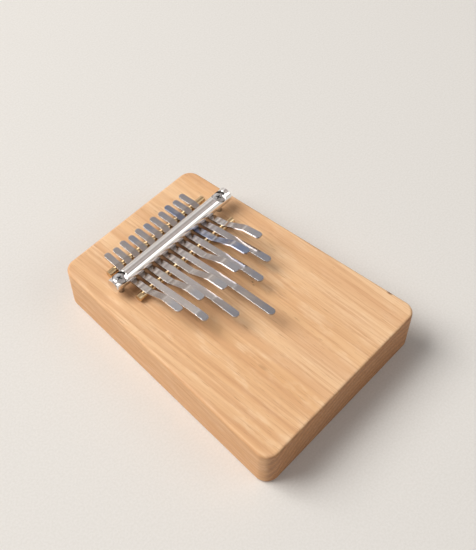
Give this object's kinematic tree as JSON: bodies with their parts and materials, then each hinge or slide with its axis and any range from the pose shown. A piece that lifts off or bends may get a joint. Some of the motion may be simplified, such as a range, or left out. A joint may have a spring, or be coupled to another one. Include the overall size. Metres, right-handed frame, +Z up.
{
  "type": "board kalimba",
  "caption": "Board kalimba: bent spring-steel tines held by a round pressure bar over brass bridge rods on a solid tapered hardwood board, plucked with the thumbs.",
  "frame": {"origin": "middle of the board's flat underside", "axes": "+X to the player's right, +Y from the player's end to the head end, +Z up out of the tine side"},
  "size_m": [0.112, 0.15, 0.0417],
  "materials": {
    "board_wood": "satin oiled cherry, fine straight grain along the length",
    "bridge_brass": "polished",
    "bar_nickel": "bright plated, mirror-like",
    "screw_steel": "bright zinc plated",
    "tine_steel": "blue and brown heat-tinted spring steel with worn bright edges"
  },
  "bodies": {
    "body": {"board": "board_wood", "front_bridge_rod": "bridge_brass", "rear_bridge_rod": "bridge_brass", "pressure_bar": "bar_nickel", "clamp_screw_left": "screw_steel", "clamp_screw_right": "screw_steel"},
    "tine_01": {"tine_01": "tine_steel"},
    "tine_02": {"tine_02": "tine_steel"},
    "tine_03": {"tine_03": "tine_steel"},
    "tine_04": {"tine_04": "tine_steel"},
    "tine_05": {"tine_05": "tine_steel"},
    "tine_06": {"tine_06": "tine_steel"},
    "tine_07": {"tine_07": "tine_steel"},
    "tine_08": {"tine_08": "tine_steel"},
    "tine_09": {"tine_09": "tine_steel"},
    "tine_10": {"tine_10": "tine_steel"},
    "tine_11": {"tine_11": "tine_steel"}
  },
  "joints": [
    {"name": "tine_01_flex", "type": "hinge", "parent": "body", "child": "tine_01", "pos_m": [-0.029, 0.031, 0.0293], "axis": [1, 0, 0], "range_deg": [-0.6, 1], "stiffness_Nm_per_rad": 0.1},
    {"name": "tine_02_flex", "type": "hinge", "parent": "body", "child": "tine_02", "pos_m": [-0.0233, 0.031, 0.0293], "axis": [1, 0, 0], "range_deg": [-0.6, 1], "stiffness_Nm_per_rad": 0.1},
    {"name": "tine_03_flex", "type": "hinge", "parent": "body", "child": "tine_03", "pos_m": [-0.0176, 0.031, 0.0293], "axis": [1, 0, 0], "range_deg": [-0.6, 1], "stiffness_Nm_per_rad": 0.1},
    {"name": "tine_04_flex", "type": "hinge", "parent": "body", "child": "tine_04", "pos_m": [-0.0119, 0.031, 0.0293], "axis": [1, 0, 0], "range_deg": [-0.6, 1], "stiffness_Nm_per_rad": 0.1},
    {"name": "tine_05_flex", "type": "hinge", "parent": "body", "child": "tine_05", "pos_m": [-0.0062, 0.031, 0.0293], "axis": [1, 0, 0], "range_deg": [-0.6, 1], "stiffness_Nm_per_rad": 0.1},
    {"name": "tine_06_flex", "type": "hinge", "parent": "body", "child": "tine_06", "pos_m": [-0.0005, 0.031, 0.0293], "axis": [1, 0, 0], "range_deg": [-0.6, 1], "stiffness_Nm_per_rad": 0.1},
    {"name": "tine_07_flex", "type": "hinge", "parent": "body", "child": "tine_07", "pos_m": [0.0052, 0.031, 0.0293], "axis": [1, 0, 0], "range_deg": [-0.6, 1], "stiffness_Nm_per_rad": 0.1},
    {"name": "tine_08_flex", "type": "hinge", "parent": "body", "child": "tine_08", "pos_m": [0.0109, 0.031, 0.0293], "axis": [1, 0, 0], "range_deg": [-0.6, 1], "stiffness_Nm_per_rad": 0.1},
    {"name": "tine_09_flex", "type": "hinge", "parent": "body", "child": "tine_09", "pos_m": [0.0166, 0.031, 0.0293], "axis": [1, 0, 0], "range_deg": [-0.6, 1], "stiffness_Nm_per_rad": 0.1},
    {"name": "tine_10_flex", "type": "hinge", "parent": "body", "child": "tine_10", "pos_m": [0.0223, 0.031, 0.0293], "axis": [1, 0, 0], "range_deg": [-0.6, 1], "stiffness_Nm_per_rad": 0.1},
    {"name": "tine_11_flex", "type": "hinge", "parent": "body", "child": "tine_11", "pos_m": [0.028, 0.031, 0.0293], "axis": [1, 0, 0], "range_deg": [-0.6, 1], "stiffness_Nm_per_rad": 0.1}
  ]
}
